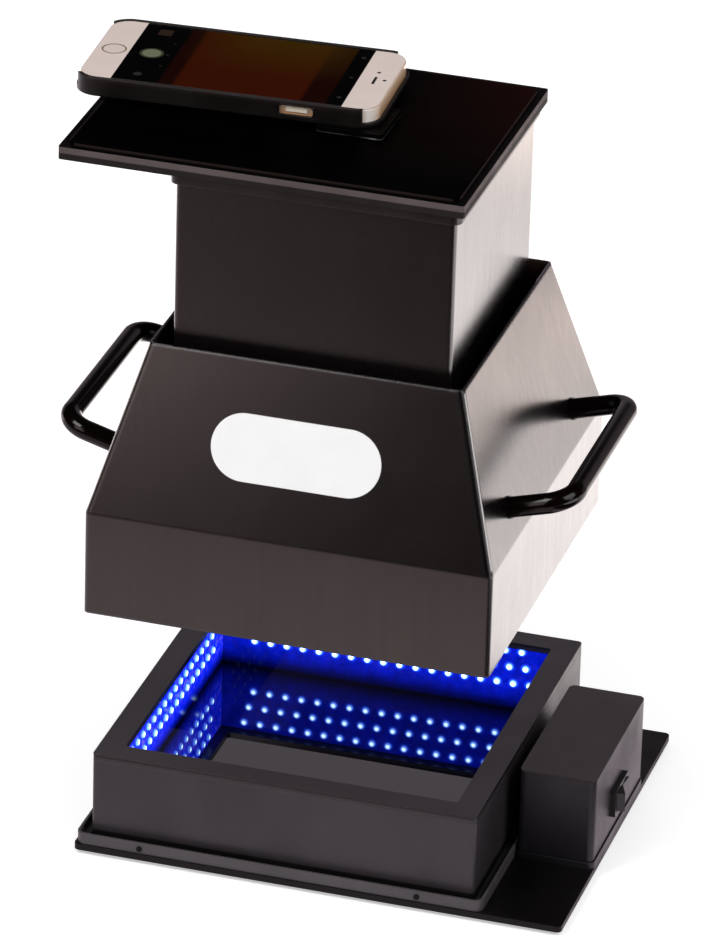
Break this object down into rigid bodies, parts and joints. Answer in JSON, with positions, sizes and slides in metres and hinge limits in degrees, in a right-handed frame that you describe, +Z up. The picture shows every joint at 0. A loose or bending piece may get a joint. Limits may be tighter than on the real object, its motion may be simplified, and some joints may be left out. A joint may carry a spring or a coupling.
{
  "type": "gel documentation system",
  "caption": "Benchtop gel imaging unit: LED light box with power box, lift-off tapered dark hood with side handles, camera column with filter, and a cased phone on its platform.",
  "frame": {"origin": "centre of the light box on the resting face, which is the underside of the anti-slip mat", "axes": "+Z up, -Y to the front with the badge, +X to the side with the power box"},
  "size_m": [0.2713, 0.195, 0.3509],
  "materials": {
    "mat_rubber": "matt",
    "base_paint": "satin",
    "tray_paint": "satin",
    "small_screws": "blackened",
    "seal_foam": "soft foam",
    "box_paint": "satin powder coat",
    "rim_paint": "satin",
    "dark_glass": "polished",
    "board_blue": "solder mask",
    "led_light": "lit",
    "power_base_paint": "satin",
    "power_cover_paint": "satin",
    "driver_green": "solder mask",
    "driver_cans": "plain",
    "lead_grey": "plain",
    "bezel_plastic": "glossy",
    "pin_steel": "bright",
    "rocker_plastic": "glossy",
    "inlet_plastic": "moulded",
    "nut_steel": "plated",
    "hood_paint": "semi-gloss",
    "shelf_paint": "matt",
    "badge_white": "bare",
    "handle_paint": "semi-gloss",
    "ferrule_black": "satin",
    "inner_screws": "plated",
    "column_paint": "semi-gloss",
    "collar_paint": "satin",
    "platform_paint": "semi-gloss",
    "platform_edge": "polished edge",
    "sheet_gloss": "polished",
    "filter_amber": "polished",
    "ring_black": "plain",
    "frame_black": "glossy",
    "lens_clear": "polished",
    "pad_rubber": "matt",
    "case_black": "satin",
    "phone_gold": "anodised",
    "phone_white": "polished",
    "phone_screen": "lit",
    "camera_black": "polished"
  },
  "bodies": {
    "base": {"anti_slip_mat": "mat_rubber", "base_plate": "base_paint", "light_tray": "tray_paint", "tray_screws": "small_screws", "light_seal": "seal_foam", "light_box_wall": "box_paint", "light_box_rim": "rim_paint", "glass_bed": "seal_foam", "floor_glass": "dark_glass", "led_board_front": "board_blue", "led_board_back": "board_blue", "led_board_left": "board_blue", "led_board_right": "board_blue", "leds_front": "led_light", "leds_back": "led_light", "leds_left": "led_light", "leds_right": "led_light", "power_box_base": "power_base_paint", "power_box_cover": "power_cover_paint", "driver_board": "driver_green", "driver_parts": "driver_cans", "light_lead": "lead_grey", "switch_bezel": "bezel_plastic", "switch_pin": "pin_steel", "dc_inlet": "inlet_plastic", "inlet_nut": "nut_steel"},
    "rocker": {"switch_rocker": "rocker_plastic"},
    "hood": {"hood_shell": "hood_paint", "column_shelf": "shelf_paint", "badge_plate": "badge_white", "handle_left": "handle_paint", "handle_right": "handle_paint", "handle_ferrules": "ferrule_black", "handle_screws": "inner_screws"},
    "column": {"column_shell": "column_paint", "column_foot": "shelf_paint", "column_collar": "collar_paint", "platform_plate": "platform_paint", "platform_top": "platform_edge", "platform_sheet": "sheet_gloss", "platform_screws": "inner_screws", "emission_filter": "filter_amber", "filter_ring": "ring_black", "filter_screws": "inner_screws", "lens_frame": "frame_black", "closeup_lens": "lens_clear", "phone_pads": "pad_rubber"},
    "phone": {"phone_case": "case_black", "phone_chassis": "phone_gold", "phone_front_glass": "phone_white", "phone_display": "phone_screen", "phone_camera_window": "camera_black"},
    "home_button": {"phone_home_button": "phone_white"},
    "power_button": {"phone_power_button": "phone_gold"},
    "volume_up_button": {"phone_volume_up": "phone_gold"},
    "volume_down_button": {"phone_volume_down": "phone_gold"}
  },
  "joints": [
    {"name": "hood_lift", "type": "slide", "parent": "base", "child": "hood", "axis": [0, 0, 1], "range_m": [-0.1159, 0]},
    {"name": "column_lift", "type": "slide", "parent": "hood", "child": "column", "axis": [0, 0, 1], "range_m": [0, 0.06]},
    {"name": "phone_lift", "type": "slide", "parent": "column", "child": "phone", "axis": [0, 0, 1], "range_m": [0, 0.08]},
    {"name": "rocker_tilt", "type": "hinge", "parent": "base", "child": "rocker", "pos_m": [0.132, 0, 0.0232], "axis": [0, 0, 1], "range_deg": [-18, 0]},
    {"name": "home_press", "type": "slide", "parent": "phone", "child": "home_button", "axis": [0, 0, -1], "range_m": [0, 0.0003], "stiffness_N_per_m": 300, "springref_m": -0.0003},
    {"name": "power_press", "type": "slide", "parent": "phone", "child": "power_button", "axis": [-0.0523, 0.9986, 0], "range_m": [0, 0.00035], "stiffness_N_per_m": 300, "springref_m": -0.0003},
    {"name": "volume_up_press", "type": "slide", "parent": "phone", "child": "volume_up_button", "axis": [0.0523, -0.9986, 0], "range_m": [0, 0.00035], "stiffness_N_per_m": 300, "springref_m": -0.0003},
    {"name": "volume_down_press", "type": "slide", "parent": "phone", "child": "volume_down_button", "axis": [0.0523, -0.9986, 0], "range_m": [0, 0.00035], "stiffness_N_per_m": 300, "springref_m": -0.0003}
  ]
}
